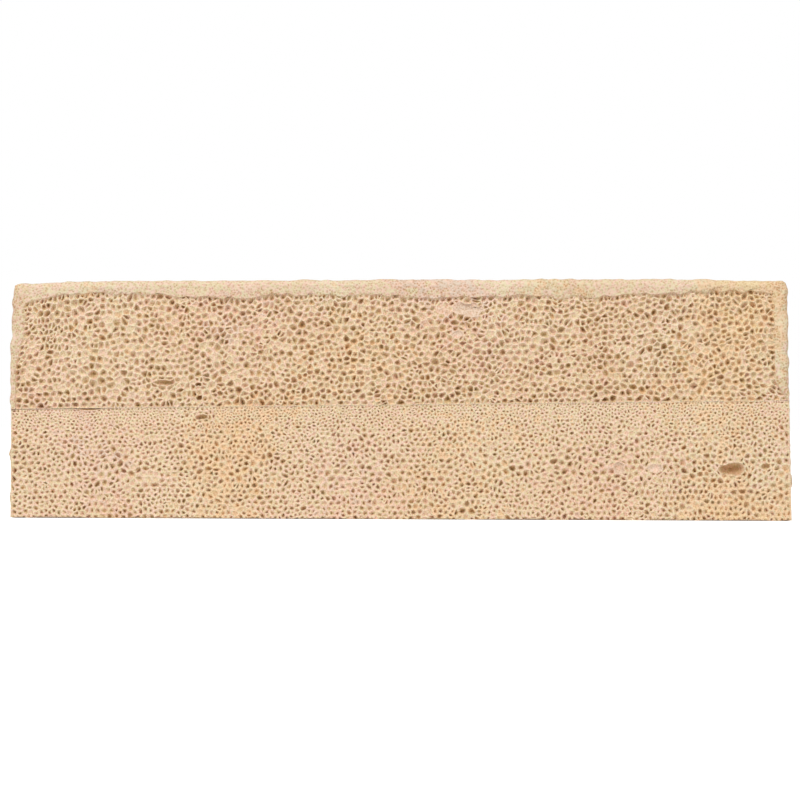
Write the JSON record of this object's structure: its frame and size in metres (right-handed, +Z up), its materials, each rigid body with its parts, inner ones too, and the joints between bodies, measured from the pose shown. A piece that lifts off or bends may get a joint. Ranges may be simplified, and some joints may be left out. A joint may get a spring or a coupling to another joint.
{
  "type": "dry cleaning sponge",
  "caption": "Rectangular natural rubber foam cleaning sponge of a coarse layer with a moulded skin bonded on a fine layer.",
  "frame": {"origin": "middle of the bottom face, on the surface that the sponge rests on", "axes": "+X along the length, to the right in the pictured view; +Y through the depth, away from the pictured face; +Z up from the fine layer to the skin of the coarse layer"},
  "size_m": [0.152, 0.076, 0.047],
  "materials": {
    "coarse_foam": "matt open-cell natural rubber foam with a moulded skin, coarse cells",
    "fine_foam": "matt open-cell natural rubber foam, cut on every side, fine cells"
  },
  "bodies": {
    "root": {"coarse_layer": "coarse_foam", "fine_layer": "fine_foam"}
  },
  "joints": []
}
